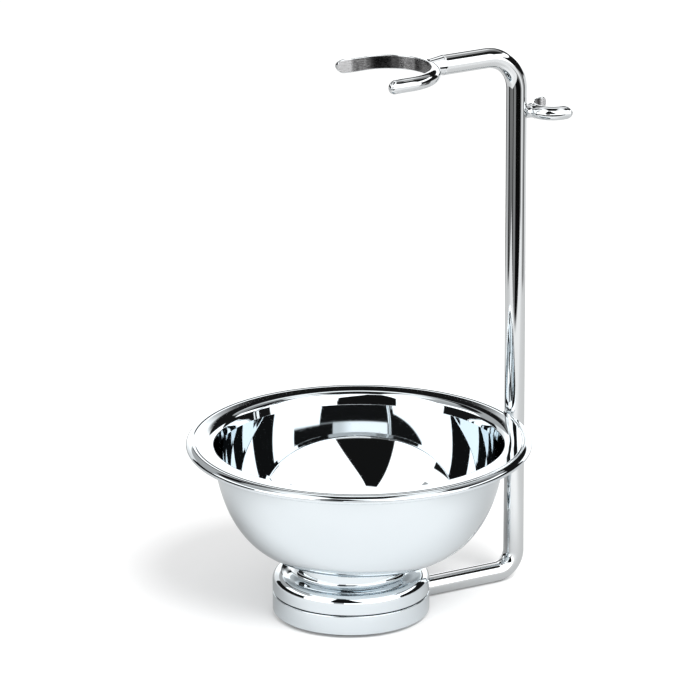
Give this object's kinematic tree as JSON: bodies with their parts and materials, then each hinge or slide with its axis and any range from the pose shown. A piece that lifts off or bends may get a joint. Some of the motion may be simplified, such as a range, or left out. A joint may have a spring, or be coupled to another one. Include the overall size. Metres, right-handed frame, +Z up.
{
  "type": "shaving brush stand",
  "caption": "Chromed shaving stand: weighted round base, bent rod, brush fork, razor fork and a loose lather bowl with a wide flanged rim.",
  "frame": {"origin": "on the table plane under the axis of the round base, the centre of the foot pad's underside", "axes": "+Z up; +X from the base's axis towards the upright rod; +Y completes a right-handed frame"},
  "size_m": [0.1177, 0.0999, 0.1637],
  "materials": {
    "chrome_base": "polished",
    "chrome_rod": "polished",
    "chrome_fork": "polished outside, brushed on the flat inner face",
    "chrome_bowl": "mirror polished",
    "ballast": "as cast",
    "fasteners": "zinc plated",
    "pad": "matt"
  },
  "bodies": {
    "stand": {"base_plate": "chrome_base", "base_cap": "chrome_base", "ballast_disc": "ballast", "centre_bolt": "fasteners", "bolt_washer": "fasteners", "rod_grub_screw": "fasteners", "foot_pad": "pad", "rod": "chrome_rod", "brush_fork": "chrome_fork", "razor_fork": "chrome_fork"},
    "bowl": {"bowl": "chrome_bowl"}
  },
  "joints": [
    {"name": "bowl_lift", "type": "slide", "parent": "stand", "child": "bowl", "axis": [0, 0, 1], "range_m": [0, 0.04]}
  ]
}
